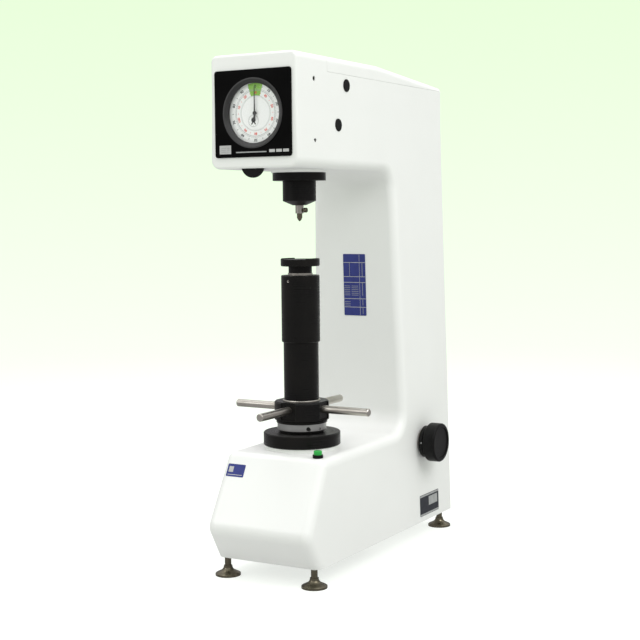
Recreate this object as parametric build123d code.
from build123d import *
import os
from math import cos, radians, sin

os.makedirs("parts", exist_ok=True)

# A bench hardness tester: a hollow cast C-frame with a loading lever and dial in its head, dead
# weights in its column, and an anvil that a handwheel raises to the indenter on a screw.
# Everything is laid out from the screw axis (x = y = 0, y to the rear) and the bench (z = 0),
# and moved back by SCREW_Y on export, so that the origin is under the middle of the machine.

# ---------------------------------------------------------------- frame casting, side outline
HEIGHT = 780.0            # bench to the top of the head
REAR_REACH = 359.0        # screw axis back to the rear face
NOSE_REACH = 139.0        # screw axis forward to the nose of the base, before its rounding
NOSE_Z = 79.0
NOSE_R = 22.0
TOE_REACH = 107.0         # front edge of the underside, behind the nose
UNDER_Z = 28.7            # underside of the base, held up by the feet
FRONT_TOP_REACH = 80.0    # where the sloping base front meets the base top
FRONT_TOP_Z = 187.0
BASE_TOP_Z = 190.0
COLUMN_FOOT_DEPTH = 172.0 # rear face forward to the column's foot
COLUMN_FOOT_R = 36.0
COLUMN_HEAD_DEPTH = 189.0
THROAT_R = 30.0
HEAD_REACH = 128.6        # screw axis forward to the head's front face
HEAD_DEPTH = 165.0        # top of the head down to its underside
TOP_BEND_Y = 129.0        # the head's top is level up to here
TOP_BEND_R = 90.0
TOP_FALL = 16.5           # fall of the top towards the rear

# ---------------------------------------------------------------- frame casting, front outline
BASE_HALF = 91.0          # half width at the underside
HEAD_HALF = 73.0          # half width of the head
DRAFT_TOP_DROP = 80.0     # the sides stand upright this near the top
DRAFT_BEND_R = 400.0      # rounding where the sides turn upright
WALL = 9.0
SIDE_R = 14.0             # rounding of the base, column and throat edges
HEAD_TOP_R = 10.0
HEAD_FRONT_R = 4.0

# ---------------------------------------------------------------- openings of the casting
SEAM_DROP = 23.5          # joint between the casting and its lid, below the top
SEAM_Y = -40.0            # the lid starts here
LID_WALL = 4.0
LID_GAP = 0.3
REAR_WINDOW_HALF = 52.0
REAR_WINDOW_Z0 = 60.0
REAR_WINDOW_DROP = 50.0
COVER_LIP = 8.0
COVER_THICK = 2.5
PANEL_GAP = 0.3           # slack round each sheet cover in its recess
FLOOR_HOLE_HALF = 50.0
FLOOR_HOLE_Y0 = -70.0
FLOOR_HOLE_Y1 = 120.0
PLUG_R = 9.5
PLUG_HEAD = 1.5
PLUG_SPOTS = [(18.6, 39.3), (-8.4, 99.6)]         # y and drop below the top
SCREW_SPOTS = [(-79.0, 36.4), (-79.0, 125.7)]
CASE_SCREW_R = 2.0
CASE_SCREW_HEAD_R = 3.4
CASE_SCREW_SINK = 1.2
FIT = 0.05                # radial clearance of turned fits
RUN = 0.3                 # running gap between faces that pass each other

# ---------------------------------------------------------------- levelling feet
FOOT_X = 76.0
FOOT_FRONT_Y = -98.0
FOOT_REAR_INSET = 16.0
STUD_R = 5.0
STUD_TOP_Z = 58.0
STUD_FOOT_Z = 5.0
FOOT_BOSS_R = 12.0
FOOT_BOSS_Z = 48.0
PAD_R = 19.4
PAD_RIM = 3.0
PAD_NECK_R = 6.6
PAD_HEIGHT = 15.0

# ---------------------------------------------------------------- elevating screw and handwheel
SCREW_R = 18.0
SCREW_TOP_Z = 458.5
SCREW_BOTTOM_Z = 150.0
KEYWAY_HALF = 3.0
KEYWAY_DEPTH = 3.5
GUIDE_R = 24.0
GUIDE_BOTTOM_Z = 130.0
GUIDE_BOSS_WALL = 10.0
KEY_LENGTH = 20.0
PAD_BOSS_R = 57.0         # machined boss of the base under the ring
RING_R = 59.6
RING_Z0 = 193.2
RING_Z1 = 213.4
RING_CHAMFER = 1.2
THRUST_R = 38.0
THRUST_FOOT_R = 33.0
THRUST_FOOT_Z = 217.6
THRUST_TOP_Z = 227.6
RACE_IN_R = 28.5
RACE_OUT_R = 34.0
RACE_FLOOR_Z = 215.6
WASHER = 2.4
BALL_R = 2.6
BALL_COUNT = 14
LOCK_SCREW_R = 3.0
LOCK_SCREW_ANGLE = -45.0
HUB_R = 42.3
HUB_Z0 = 228.0
HUB_Z1 = 261.4
HUB_SKIRT_R = 39.5
HUB_SKIRT_Z = 232.0
HUB_CHAMFER = 2.0
HUB_FLAT = 38.6           # axis to each flat that a spoke comes out of
HUB_FLAT_HALF = 13.0
NUT_R = 26.5
NUT_Z0 = 218.0
NUT_Z1 = 256.0
SPOKE_R = 6.0
SPOKE_REACH = 119.4
SPOKE_ROOT = 30.0
SPOKE_Z = 249.7
SPOKE_COUNT = 4
SPOKE_TURN = -1.1
TUBE_R = 27.0             # lower dust tube, standing on the hub
TUBE_WALL = 2.6
TUBE_TOP_Z = 357.5
SLEEVE_R = 29.6           # upper dust sleeve, hanging from the screw
SLEEVE_WALL = 2.2
SLEEVE_Z0 = 352.4
SLEEVE_Z1 = 455.2
SLEEVE_CAP = 8.0
SCREW_NECK_R = 15.0
ANVIL_R = 30.0
ANVIL_Z = 481.0
ANVIL_FLANGE = 12.0
ANVIL_NECK_R = 18.0
ANVIL_CHANNEL = 1.4
ANVIL_CHANNEL_HALF = 21.5
ANVIL_STEM_R = 8.0
ANVIL_STEM = 34.0

# ---------------------------------------------------------------- spindle and indenter
FLANGE_R = 40.8
FLANGE_DROP = 168.5       # spindle flange below the top of the head
FLANGE_THICK = 12.0
SEAT_R = 43.0             # machined seat of the flange under the head
HOUSING_R = 25.6
HOUSING_LENGTH = 30.9
HOUSING_TIP_R = 10.5
HOUSING_TIP = 6.6
SPIGOT_R = 24.0
SPIGOT_LENGTH = 26.5
SPINDLE_R = 9.0
SPINDLE_TOP_DROP = 20.5   # spindle top below the fulcrum
SPINDLE_NOSE_R = 6.4
SPINDLE_NOSE = 12.5       # nose below the housing
BUSH_WALL = 4.0
INDENTER_R = 4.2
INDENTER_STEM_R = 3.0
INDENTER_STEM = 14.0
INDENTER_LENGTH = 12.0
INDENTER_CONE = 3.3
INDENTER_TAPER = 5.5
TIP_R = 0.4
CLAMP_LIFT = 5.0          # clamp screw above the spindle nose
CLAMP_R = 1.5
CLAMP_HEAD_R = 3.7
CLAMP_HEAD = 5.0
CLAMP_REACH = 13.0
GAUGE_ROD_R = 2.5
GAUGE_ARM_LIFT = 40.0     # gauge arm above the fulcrum
GAUGE_ARM_HALF = 3.0

# ---------------------------------------------------------------- loading lever
FULCRUM_ARM = 24.0        # spindle axis forward to the fulcrum
FULCRUM_DROP = 108.0
FULCRUM_R = 5.0
LEVER_HALF = 12.0
LEVER_NOSE = 14.0         # lever in front of the fulcrum
LEVER_TAIL_INSET = 23.0
LEVER_DEEP = 34.0
LEVER_SLIM = 22.0
LEVER_SLOT = 5.0
KNIFE_HALF = 3.0
CHEEK = 8.0
CHEEK_HALF_Y = 14.0
BLOCK_FOOT = 8.0
POISE_Y = 100.0
POISE_HALF = 14.0
POISE_WALL = 6.0

# ---------------------------------------------------------------- weights in the column
HANGER_INSET = 93.0       # rear face forward to the weights' axis
HANGER_ROD_R = 6.0
STRAP_HALF_Y = 8.0
STRAP = 4.0
STRAP_RISE = 30.0         # straps above and below the fulcrum's height
STRAP_FALL = 36.0
STRAP_BRIDGE = 6.0
HANGER_PIN_R = 4.0
PAN_R = 32.0
PAN_Z = 224.0
PAN_THICK = 8.0
WEIGHT_R = 60.0
WEIGHT_BORE = 9.0
WEIGHT_HEIGHTS = [52.0, 41.0, 52.0]
LIFT_ROOM = 15.0          # free height over the first weight as the lever lifts it
STACK_GAP = 9.0
LUG = 7.0
CRADLE_PLATE = 6.0
CRADLE_GAP = 1.5
CRADLE_HALF_Y = 20.0
CRADLE_FLOOR_Z = 190.0
CRADLE_FLOOR = 8.0
CRADLE_TOP = 14.0
GUIDE_ROD_R = 5.0
GUIDE_ROD_X = 62.0
GUIDE_ROD_INSET = 59.0
GUIDE_ROD_Z0 = 176.0
GUIDE_ROD_Z1 = 470.0
GUIDE_LUG_R = 9.0
GUIDE_LUG = 18.0
GUIDE_BLOCK = 10.0

# ---------------------------------------------------------------- load selector
KNOB_INSET = 105.3
KNOB_Z = 164.5
KNOB_R = 32.3
KNOB_FACE_X = 121.7
KNOB_GRIP_X = 100.5
KNOB_SKIRT_R = 26.5
KNOB_GAP = 1.0
KNOB_EDGE_R = 3.0
KNOB_DISH = 1.5
KNOB_DISH_R = 26.0
SELECTOR_R = 8.0
SELECTOR_END_X = -26.0
SELECTOR_BUSH_R = 13.0
SELECTOR_BUSH_FLANGE_R = 17.0
SELECTOR_BUSH_FLANGE = 3.0
CAM_BASE_R = 24.7
CAM_LIFT = 8.0
CAM_SWEEP = 120.0
CAM_HALF = 8.0
SELECTOR_POST_HALF = 17.0
SELECTOR_POST = 8.0

# ---------------------------------------------------------------- dial
DIAL_DROP = 85.5          # dial centre below the top of the head
DIAL_PANEL_HALF = 65.0
DIAL_PANEL_DROP = 23.2
DIAL_PANEL_HEIGHT = 125.4
DIAL_PANEL_R = 4.0
DIAL_PANEL_THICK = 2.0
BEZEL_R = 50.5            # lip on the panel
BEZEL_MOUTH_R = 48.6      # the rim funnels in from here to the glass
BEZEL_IN_R = 42.9
BEZEL_DEPTH = 4.5
BEZEL_LIP = 0.8
BEZEL_LAND = 0.6
GLASS_R = 45.2
GLASS = 1.0
SCALE_R = 44.6
SCALE_IN_R = 24.6
SCALE_THICK = 0.8
SCALE_RIM = 2.0
SCALE_DEPTH = 7.0
POINTER_ROOM = 3.7        # glass to the scale, where the hands turn
SCALE_HUB_R = 9.0
SCALE_HUB_BORE = 6.2
FACE_R = 24.2
FACE_STEM_R = 5.8
FACE_STEM_BORE = 2.0
CASE_R = 51.0
CASE_WALL = 2.0
CASE_DEPTH = 35.0
POINTER_R = 38.0
POINTER_TAIL = 9.0
POINTER_HALF = 1.3
POINTER_HUB_R = 3.0
POINTER_THICK = 0.5
POINTER_SHAFT_R = 1.5
SMALL_X = -3.6
SMALL_DROP = 10.8
SMALL_REACH = 6.5
SMALL_HUB_R = 1.5
SMALL_SHAFT_R = 0.7
MOVEMENT_HALF = 18.0
MOVEMENT_DEPTH = 20.0
MOVEMENT_HEIGHT = 34.0
BRACKET = 4.0
BRACKET_DROP = 28.0
BRACKET_HEIGHT = 107.0
BRACKET_FLANGE = 22.0
BRACKET_SLOT = 9.0        # wider than the gauge arm by its travel

# ---------------------------------------------------------------- scale drive
THUMB_SPAN = 74.0         # dial centre to the thumbwheel
THUMB_TILT = 4.65         # lean of the scale drive from the vertical
THUMB_R = 18.5
THUMB_Y0 = -125.6
THUMB_WIDTH = 8.0
THUMB_AXLE_R = 1.8
THUMB_SLOT = 2.0          # slack of the slot round the thumbwheel
DRIVE_R = 40.0            # friction wheel of the scale
PINION_R = 6.0
DRIVE_WIDTH = 4.0
DRIVE_NIP = 0.15
IDLER_BORE = 3.0
AXLE_BLOCK_HALF = 9.0
AXLE_BLOCK = 6.0

# ---------------------------------------------------------------- button and electrics
BUTTON_X = 66.4
BUTTON_Y = -67.0
BUTTON_Z = 187.6          # base top at the button
BUTTON_R = 6.3
BUTTON_TOP = 10.6
BUTTON_BEZEL_R = 7.9
BUTTON_BEZEL = 4.6
BARREL_R = 7.2
BARREL = 20.0
BUTTON_SKIRT = 8.0
BUTTON_STEM_R = 2.5
SWITCH_HALF = 8.0
SWITCH_HEIGHT = 14.0
INLET_X = -24.0
INLET_Z = 100.0
INLET_HALF_X = 14.0
INLET_HALF_Z = 12.0
INLET_DEPTH = 24.0
INLET_FLANGE = 4.0
INLET_WALL = 2.5
PIN_R = 1.6
ROCKER_X = 24.0
ROCKER_HALF_X = 7.0
ROCKER_HALF_Z = 10.0
ROCKER_DEPTH = 16.0
ROCKER_PROUD = 2.5
ROCKER_WALL = 2.0
ROCKER_PIVOT = 5.0        # pivot behind the cover's face
ROCKER_TILT = 8.0         # tilt at rest, in the off position
MOTOR_INSET = 41.0
MOTOR_DROP = 142.0
MOTOR_R = 20.0
MOTOR_X0 = -60.0
MOTOR_X1 = -18.0
MOTOR_SHELF = 5.0
MOTOR_PLATE = 4.0
MOTOR_SHAFT_R = 4.0
LIFT_CAM_R = 11.0
LIFT_CAM_THROW = 2.5
LIFT_CAM_HALF = 6.0
STOP_INSET = 67.0
STOP_GAP = 2.3            # stop below the resting lever
STOP_HALF_Y = 5.0
STOP_HEIGHT = 12.0
DASHPOT_INSET = 153.0
DASHPOT_R = 17.0
DASHPOT_WALL = 2.5
DASHPOT_DROP = 168.0
DASHPOT_HEIGHT = 72.0
PISTON_R = 14.2
PISTON_THICK = 8.0
PISTON_ROD_R = 4.0
DASHPOT_CLAMP = 18.0
TRANSFORMER = 46.0
TRANSFORMER_X = -50.0
TRANSFORMER_INSET = 199.0
CORE_SHARE = 0.8          # core and coil as shares of the transformer's side
COIL_SHARE = 0.6
COIL_TOP_SHARE = 0.65
COIL_FOOT_SHARE = 0.15
BOARD_HALF_X = 38.0
BOARD_Y0 = -50.0
BOARD_Y1 = 100.0
BOARD_THICK = 1.6
BOARD_POST = 8.0
BOARD_POST_R = 3.0
CHIP_HEIGHT = 9.0
CHIP_LENGTH = 18.0
CHIP_INSET = 12.0
CHIP_COUNT = 3

# ---------------------------------------------------------------- rear cover screws
COVER_SCREW_R = 2.0
COVER_SCREW_HEAD_R = 3.5
COVER_SCREW_HEAD = 1.6
COVER_SCREW_LENGTH = 8.0
COVER_SCREW_ROWS = 4

# ---------------------------------------------------------------- places that follow from the sizes
COLUMN_FOOT_Y = REAR_REACH - COLUMN_FOOT_DEPTH
COLUMN_HEAD_Y = REAR_REACH - COLUMN_HEAD_DEPTH
HEAD_UNDER_Z = HEIGHT - HEAD_DEPTH
TOP_REAR_Z = HEIGHT - TOP_FALL
DRAFT_TOP_Z = HEIGHT - DRAFT_TOP_DROP
SEAM_Z = HEIGHT - SEAM_DROP
REAR_WINDOW_Z1 = HEIGHT - REAR_WINDOW_DROP
PLUGS = [(y, HEIGHT - drop) for y, drop in PLUG_SPOTS]
CASE_SCREWS = [(y, HEIGHT - drop) for y, drop in SCREW_SPOTS]
FOOT_REAR_Y = REAR_REACH - FOOT_REAR_INSET
FLANGE_Z1 = HEIGHT - FLANGE_DROP
FLANGE_Z0 = FLANGE_Z1 - FLANGE_THICK
HOUSING_Z0 = FLANGE_Z0 - HOUSING_LENGTH
HOUSING_TIP_Z = HOUSING_Z0 - HOUSING_TIP
SPIGOT_Z = FLANGE_Z1 + SPIGOT_LENGTH
FULCRUM_Z = HEIGHT - FULCRUM_DROP
SPINDLE_TOP_Z = FULCRUM_Z - SPINDLE_TOP_DROP
SPINDLE_NOSE_Z = HOUSING_TIP_Z - SPINDLE_NOSE
TIP_Z = SPINDLE_NOSE_Z - INDENTER_LENGTH
CLAMP_Z = SPINDLE_NOSE_Z + CLAMP_LIFT
GAUGE_ARM_Z = FULCRUM_Z + GAUGE_ARM_LIFT
LEVER_TAIL_Y = REAR_REACH - LEVER_TAIL_INSET
HANGER_Y = REAR_REACH - HANGER_INSET
STRAP_TOP_Z = FULCRUM_Z + STRAP_RISE
STRAP_FOOT_Z = FULCRUM_Z - STRAP_FALL
GUIDE_ROD_Y = REAR_REACH - GUIDE_ROD_INSET
KNOB_Y = REAR_REACH - KNOB_INSET
DIAL_Z = HEIGHT - DIAL_DROP
DIAL_PANEL_Z1 = HEIGHT - DIAL_PANEL_DROP
DIAL_PANEL_Z0 = DIAL_PANEL_Z1 - DIAL_PANEL_HEIGHT
BRACKET_Z1 = HEIGHT - BRACKET_DROP
BRACKET_Z0 = BRACKET_Z1 - BRACKET_HEIGHT
IDLER_R = (THUMB_SPAN - DRIVE_R - PINION_R) / 2
IDLER_SPAN = DRIVE_R + IDLER_R
THUMB_X = -THUMB_SPAN * sin(radians(THUMB_TILT))
THUMB_Z = DIAL_Z - THUMB_SPAN * cos(radians(THUMB_TILT))
IDLER_X = -IDLER_SPAN * sin(radians(THUMB_TILT))
IDLER_Z = DIAL_Z - IDLER_SPAN * cos(radians(THUMB_TILT))
MOTOR_Y = REAR_REACH - MOTOR_INSET
MOTOR_Z = HEIGHT - MOTOR_DROP
STOP_Y = REAR_REACH - STOP_INSET
DASHPOT_Y = REAR_REACH - DASHPOT_INSET
DASHPOT_Z1 = HEIGHT - DASHPOT_DROP
DASHPOT_Z0 = DASHPOT_Z1 - DASHPOT_HEIGHT
TRANSFORMER_Y = REAR_REACH - TRANSFORMER_INSET

NODES = {}


def keep(name, shape):
    """Register one node, still placed from the screw axis."""
    NODES[name] = shape


def bar_x(radius, x0, x1, y, z):
    return Pos((x0 + x1) / 2, y, z) * Rot(0, 90, 0) * Cylinder(radius, x1 - x0)


def bar_y(radius, y0, y1, x, z):
    return Pos(x, (y0 + y1) / 2, z) * Rot(90, 0, 0) * Cylinder(radius, y1 - y0)


def bar_z(radius, z0, z1, x=0.0, y=0.0):
    return Pos(x, y, (z0 + z1) / 2) * Cylinder(radius, z1 - z0)


def block(x0, x1, y0, y1, z0, z1):
    middle = Pos((x0 + x1) / 2, (y0 + y1) / 2, (z0 + z1) / 2)
    return middle * Box(x1 - x0, y1 - y0, z1 - z0)


def turned_z(points):
    """Solid of revolution about Z from (radius, z) points."""
    return revolve(Plane.XZ * make_face(Polyline(*points, close=True)), Axis.Z)


def turned_y(points, z):
    """Solid of revolution about a line along Y at height z, from (radius, y) points."""
    profile = make_face(Polyline(*points, close=True))
    return Pos(0, 0, z) * revolve(profile, Axis.Y)


def turned_x(points, y, z):
    """Solid of revolution about a line along X, from (x, radius) points."""
    profile = make_face(Polyline(*points, close=True))
    return Pos(0, y, z) * revolve(profile, Axis.X)


def group(*shapes):
    """Separate solids that touch, kept side by side in one node."""
    return Compound([solid for shape in shapes for solid in shape.solids()])


def spun(shape, count, turn=0.0):
    """Copies of a shape, evenly spaced about Z."""
    return Part() + [Rot(0, 0, turn + i * 360 / count) * shape for i in range(count)]


# ---------------------------------------------------------------- frame casting
def side_outline():
    """The C-shaped side view as a face, local x = y of the machine and local y = z."""
    corners = [
        (-TOE_REACH, UNDER_Z, 0),
        (-NOSE_REACH, NOSE_Z, NOSE_R),
        (-FRONT_TOP_REACH, FRONT_TOP_Z, 0),
        (COLUMN_FOOT_Y, BASE_TOP_Z, COLUMN_FOOT_R),
        (COLUMN_HEAD_Y, HEAD_UNDER_Z, THROAT_R),
        (-HEAD_REACH, HEAD_UNDER_Z, 0),
        (-HEAD_REACH, HEIGHT, 0),
        (TOP_BEND_Y, HEIGHT, TOP_BEND_R),
        (REAR_REACH, TOP_REAR_Z, 0),
        (REAR_REACH, UNDER_Z, 0),
    ]
    outline = make_face(Polyline(*[(y, z) for y, z, _ in corners], close=True))
    for y, z, radius in corners:
        if radius:
            corner = outline.vertices().sort_by_distance((y, z))[0]
            outline = fillet(corner, radius)
    return outline


def front_outline():
    """The tapering front view as a face, local x = x of the machine and local y = z."""
    right = [(BASE_HALF, UNDER_Z), (HEAD_HALF, DRAFT_TOP_Z), (HEAD_HALF, HEIGHT)]
    left = [(-x, z) for x, z in reversed(right)]
    outline = make_face(Polyline(*right, *left, close=True))
    for side in (-1, 1):
        bend = outline.vertices().sort_by_distance((side * HEAD_HALF, DRAFT_TOP_Z))[0]
        outline = fillet(bend, DRAFT_BEND_R)
    return outline


def half_width(z):
    """Half width of the casting's outside at height z."""
    share = min((z - UNDER_Z) / (DRAFT_TOP_Z - UNDER_Z), 1)
    return BASE_HALF + (HEAD_HALF - BASE_HALF) * share


def c_solid(inset):
    """Side and front outlines, both moved inward by inset, crossed into one solid."""
    side = side_outline()
    front = front_outline()
    if inset:
        side = offset(side, -inset, kind=Kind.INTERSECTION)
        front = offset(front, -inset, kind=Kind.INTERSECTION)
    across = extrude(Plane.YZ * side, amount=BASE_HALF * 2, both=True)
    along = extrude(Plane.XZ * front, amount=REAR_REACH * 2, both=True)
    return across & along


def on_side(edge):
    """True for an edge that runs along the left or right face of the casting."""
    middle = edge @ 0.5
    return abs(middle.X) > half_width(middle.Z) - 0.1


def rounded_body():
    """Outside of the casting and lid together, with its soft edges."""
    body = c_solid(0)
    flank = body.edges().filter_by(on_side)
    lower = [
        e for e in flank
        if (e @ 0.5).Y < REAR_REACH - 1
        and UNDER_Z + 1 < (e @ 0.5).Z < HEAD_UNDER_Z + 1
    ]
    brow = body.edges().sort_by_distance((0, -FRONT_TOP_REACH, FRONT_TOP_Z))[0]
    body = fillet(lower + [brow], SIDE_R)
    upper = [
        e for e in body.edges().filter_by(on_side)
        if (e @ 0.5).Z > TOP_REAR_Z - 1 and -HEAD_REACH + 1 < (e @ 0.5).Y < REAR_REACH - 1
    ]
    body = fillet(upper, HEAD_TOP_R)
    face = body.faces().filter_by(Axis.Y).sort_by(Axis.Y)[0]
    body = fillet(face.edges(), HEAD_FRONT_R)
    return body


body = rounded_body()
SCREW_Y = -body.bounding_box().center().Y
cavity = c_solid(WALL)
lid_cavity = c_solid(LID_WALL)
HEAD_FLOOR_Z = HEAD_UNDER_Z + WALL
BASE_FLOOR_Z = UNDER_Z + WALL
FRONT_WALL_Y = -HEAD_REACH + WALL
REAR_WALL_Y = REAR_REACH - WALL
FAR = 2 * REAR_REACH

lid_room = block(-FAR, FAR, SEAM_Y, FAR, SEAM_Z, HEIGHT + WALL)
FEET = [(x, y) for y in (FOOT_FRONT_Y, FOOT_REAR_Y) for x in (-FOOT_X, FOOT_X)]


def cover_recess(gap):
    """Room of the rear cover in the casting's back."""
    half = REAR_WINDOW_HALF + COVER_LIP + gap
    z0 = REAR_WINDOW_Z0 - COVER_LIP - gap
    z1 = REAR_WINDOW_Z1 + COVER_LIP + gap
    return block(-half, half, REAR_REACH - COVER_THICK, REAR_REACH, z0, z1)


def rear_screw_spots():
    """Centres of the rear cover's screws, down both edges."""
    x = REAR_WINDOW_HALF + COVER_LIP / 2
    span = REAR_WINDOW_Z1 - REAR_WINDOW_Z0
    steps = [REAR_WINDOW_Z0 + span * i / (COVER_SCREW_ROWS - 1) for i in range(COVER_SCREW_ROWS)]
    return [(side * x, z) for side in (-1, 1) for z in steps]


def floor_recess(gap):
    """Room of the bottom plate in the casting's underside."""
    half = FLOOR_HOLE_HALF + COVER_LIP + gap
    y0 = FLOOR_HOLE_Y0 - COVER_LIP - gap
    y1 = FLOOR_HOLE_Y1 + COVER_LIP + gap
    return block(-half, half, y0, y1, UNDER_Z, UNDER_Z + COVER_THICK)


PANEL_FACE_Y = -HEAD_REACH - DIAL_PANEL_THICK
BEZEL_FACE_Y = PANEL_FACE_Y - BEZEL_LIP
CASE_BACK_Y = -HEAD_REACH + CASE_DEPTH
GLASS_Y = BEZEL_FACE_Y + BEZEL_DEPTH
SCALE_Y = GLASS_Y + GLASS + POINTER_ROOM
DRIVE_Y0 = CASE_BACK_Y + RUN * 2
DRIVE_Y1 = DRIVE_Y0 + DRIVE_WIDTH
MOVEMENT_Y = DRIVE_Y1 + RUN * 2
THUMB_Y1 = THUMB_Y0 + THUMB_WIDTH
BOSS_TOP_Z = RING_Z0


def frame_casting():
    casting = body - cavity - lid_room
    guide_boss = bar_z(GUIDE_R + GUIDE_BOSS_WALL, GUIDE_BOTTOM_Z, BASE_TOP_Z)
    casting += guide_boss & body
    casting += bar_z(PAD_BOSS_R, BASE_TOP_Z - WALL, BOSS_TOP_Z)
    casting -= bar_z(GUIDE_R, GUIDE_BOTTOM_Z, BOSS_TOP_Z)
    for x, y in FEET:
        boss = bar_z(FOOT_BOSS_R, UNDER_Z, FOOT_BOSS_Z, x, y)
        casting += boss & body
    for x, y in FEET:
        casting -= bar_z(STUD_R + FIT, UNDER_Z, FOOT_BOSS_Z, x, y)
    casting += bar_z(SEAT_R, FLANGE_Z1, HEAD_UNDER_Z)
    casting -= bar_z(SEAT_R, FLANGE_Z0, FLANGE_Z1)
    casting -= bar_z(SPIGOT_R + FIT, FLANGE_Z0, HEAD_FLOOR_Z)
    casting -= bar_y(CASE_R, -HEAD_REACH, FRONT_WALL_Y, 0, DIAL_Z)
    slot = THUMB_R + THUMB_SLOT
    casting -= block(THUMB_X - slot, THUMB_X + slot, THUMB_Y0 - RUN * 2, THUMB_Y1 + THUMB_SLOT,
                     HEAD_UNDER_Z, THUMB_Z + slot)
    casting -= block(THUMB_X - AXLE_BLOCK_HALF, THUMB_X + AXLE_BLOCK_HALF, THUMB_Y1,
                     MOVEMENT_Y + AXLE_BLOCK, HEAD_UNDER_Z, HEAD_FLOOR_Z)
    for y, z in PLUGS:
        casting -= bar_x(PLUG_R, HEAD_HALF - WALL * 2, HEAD_HALF + WALL, y, z)
    for y, z in CASE_SCREWS:
        casting -= bar_x(CASE_SCREW_R + FIT, -FAR, FAR, y, z)
        for side in (-1, 1):
            outer = half_width(z) * side
            inner = (half_width(z) - CASE_SCREW_SINK * 2) * side
            sink = bar_x(CASE_SCREW_HEAD_R + RUN, min(outer, inner), max(outer, inner), y, z)
            casting -= sink
    casting -= bar_x(SELECTOR_BUSH_R, HEAD_HALF, FAR, KNOB_Y, KNOB_Z)
    casting -= bar_z(BARREL_R, BUTTON_Z - BARREL, BUTTON_Z + WALL, BUTTON_X, BUTTON_Y)
    casting -= block(-REAR_WINDOW_HALF, REAR_WINDOW_HALF, REAR_WALL_Y - 1, FAR,
                     REAR_WINDOW_Z0, REAR_WINDOW_Z1)
    casting -= cover_recess(PANEL_GAP)
    for x, z in rear_screw_spots():
        casting -= bar_y(COVER_SCREW_R + FIT, REAR_REACH - COVER_SCREW_LENGTH - 1, REAR_REACH, x, z)
    casting -= block(-FLOOR_HOLE_HALF, FLOOR_HOLE_HALF, FLOOR_HOLE_Y0, FLOOR_HOLE_Y1,
                     0, BASE_FLOOR_Z + 1)
    casting -= floor_recess(PANEL_GAP)
    return casting


keep("frame_casting", frame_casting())


# ---------------------------------------------------------------- covers, plates and feet
def top_lid():
    lid = (body - lid_cavity) & block(-FAR, FAR, SEAM_Y + LID_GAP, FAR, SEAM_Z + LID_GAP, HEIGHT)
    return lid


def rear_cover():
    plate = cover_recess(0)
    plate -= inlet_hole(0)
    plate -= rocker_hole(0)
    for x, z in rear_screw_spots():
        plate -= bar_y(COVER_SCREW_R + FIT, REAR_WALL_Y, REAR_REACH, x, z)
    return plate


def inlet_hole(gap):
    half_x = INLET_HALF_X + gap
    half_z = INLET_HALF_Z + gap
    return block(INLET_X - half_x, INLET_X + half_x, REAR_WALL_Y, REAR_REACH,
                 INLET_Z - half_z, INLET_Z + half_z)


def rocker_hole(gap):
    half_x = ROCKER_HALF_X + ROCKER_WALL + gap
    half_z = ROCKER_HALF_Z + ROCKER_WALL + gap
    return block(ROCKER_X - half_x, ROCKER_X + half_x, REAR_WALL_Y, REAR_REACH,
                 INLET_Z - half_z, INLET_Z + half_z)


def cover_screw(x, z):
    """Pan-head screw of the rear cover, threaded into the casting."""
    head = bar_y(COVER_SCREW_HEAD_R, REAR_REACH, REAR_REACH + COVER_SCREW_HEAD, x, z)
    shank = bar_y(COVER_SCREW_R, REAR_REACH - COVER_SCREW_LENGTH, REAR_REACH, x, z)
    return fillet(head.faces().sort_by(Axis.Y)[-1].edges(), COVER_SCREW_HEAD / 2) + shank


def plug(y, z):
    """Push-in cap that closes an adjusting hole in the head's side."""
    x0 = half_width(z) - WALL
    x1 = half_width(z)
    cap = bar_x(PLUG_R, x0, x1 + PLUG_HEAD, y, z)
    return fillet(cap.faces().sort_by(Axis.X)[-1].edges(), PLUG_HEAD * 0.6)


def case_screw(y, z, side):
    """Countersunk screw that holds the dial bracket from the side."""
    face = half_width(z) - CASE_SCREW_SINK
    tip = face - WALL - BRACKET
    shank = bar_x(CASE_SCREW_R, tip, face, y, z)
    head = turned_x([(face - CASE_SCREW_SINK, 0), (face, 0), (face, CASE_SCREW_HEAD_R),
                     (face - CASE_SCREW_SINK, CASE_SCREW_R)], y, z)
    screw = shank + head
    if side < 0:
        screw = mirror(screw, Plane.YZ)
    return screw


def stud(x, y):
    return bar_z(STUD_R, STUD_FOOT_Z, STUD_TOP_Z, x, y)


def pad(x, y):
    """Cone-shaped foot pad with a flared skirt and a socket for the stud."""
    flare = Spline((PAD_R, PAD_RIM), (PAD_NECK_R, PAD_HEIGHT),
                   tangents=[(-PAD_R, PAD_HEIGHT), (0, PAD_HEIGHT)])
    edges = [Line((0, 0), (PAD_R, 0)), Line((PAD_R, 0), (PAD_R, PAD_RIM)), flare,
             Line((PAD_NECK_R, PAD_HEIGHT), (0, PAD_HEIGHT)), Line((0, PAD_HEIGHT), (0, 0))]
    cone = revolve(Plane.XZ * make_face(Wire(edges)), Axis.Z)
    socket = bar_z(STUD_R + FIT, STUD_FOOT_Z - RUN, PAD_HEIGHT)
    return Pos(x, y, 0) * (cone - socket)


keep("top_lid", top_lid())
keep("rear_cover", rear_cover())
keep("side_plugs", Part() + [plug(y, z) for y, z in PLUGS])
SCREWS = [cover_screw(x, z) for x, z in rear_screw_spots()]
SCREWS += [case_screw(y, z, side) for y, z in CASE_SCREWS for side in (-1, 1)]
FOOT_NAMES = ["front_left", "front_right", "rear_left", "rear_right"]
for foot, (x, y) in zip(FOOT_NAMES, FEET):
    keep(f"foot_stud_{foot}", stud(x, y))
    keep(f"foot_pad_{foot}", pad(x, y))


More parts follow.
